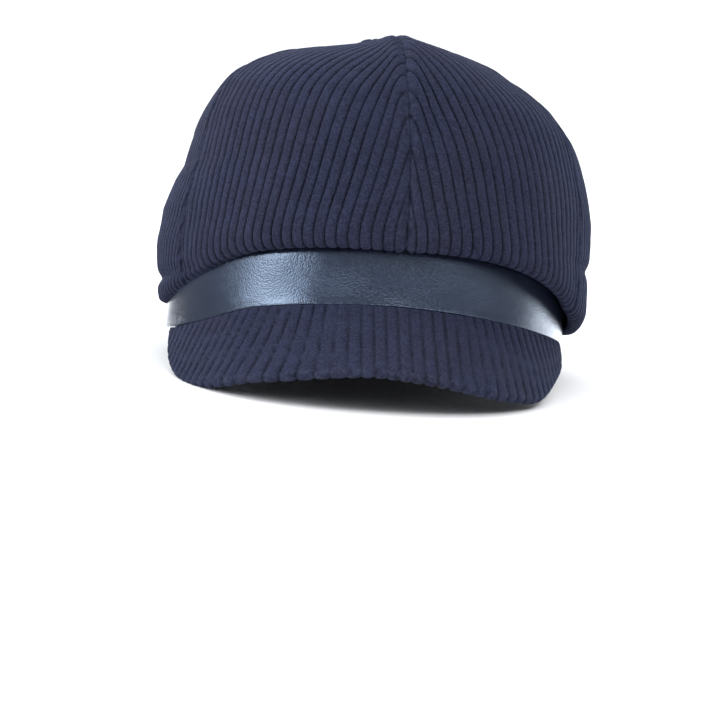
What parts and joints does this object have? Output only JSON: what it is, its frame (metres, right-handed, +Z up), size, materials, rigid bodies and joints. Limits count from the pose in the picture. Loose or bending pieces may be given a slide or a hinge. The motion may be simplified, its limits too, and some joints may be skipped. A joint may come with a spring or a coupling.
{
  "type": "newsboy cap",
  "caption": "Soft newsboy cap: full panelled corduroy crown over a smooth leather-look band, with a short stiff corduroy-covered visor.",
  "frame": {"origin": "centre of the footprint on the table the cap lies on, on its two visor corners and its rear rim", "axes": "+Z up, -Y the way the wearer looks (the visor side), +X the wearer's left"},
  "size_m": [0.194, 0.2666, 0.1435],
  "materials": {
    "corduroy": "wide-wale cotton corduroy, navy",
    "band_leather": "soft navy imitation leather, fine grain, satin",
    "lining_cloth": "satin-woven lining",
    "sweatband_cloth": "ribbed tape",
    "buckram": "stiffened interlining",
    "stiff_plastic": "moulded sheet",
    "label_cloth": "blank woven tape",
    "button_metal": "pressed",
    "button_plastic": "moulded"
  },
  "bodies": {
    "cap": {"crown_panel_front_left": "corduroy", "crown_panel_front_right": "corduroy", "crown_panel_side_left": "corduroy", "crown_panel_side_right": "corduroy", "crown_panel_back_left": "corduroy", "crown_panel_back_right": "corduroy", "lining_panel_front_left": "lining_cloth", "lining_panel_front_right": "lining_cloth", "lining_panel_side_left": "lining_cloth", "lining_panel_side_right": "lining_cloth", "lining_panel_back_left": "lining_cloth", "lining_panel_back_right": "lining_cloth", "leather_band": "band_leather", "band_stand": "buckram", "band_stiffener": "stiff_plastic", "sweatband": "sweatband_cloth", "care_label": "label_cloth", "crown_button_cover": "corduroy", "crown_button_shell": "button_metal", "crown_button_back": "button_plastic", "crown_button_shank": "button_metal"},
    "visor": {"visor_top_cover": "corduroy", "visor_board": "stiff_plastic", "visor_under_cover": "corduroy"}
  },
  "joints": [
    {"name": "visor_flex", "type": "hinge", "parent": "cap", "child": "visor", "pos_m": [0, -0.04908, 0.03557], "axis": [-1, 0, 0], "range_deg": [-5, 9], "stiffness_Nm_per_rad": 2}
  ]
}
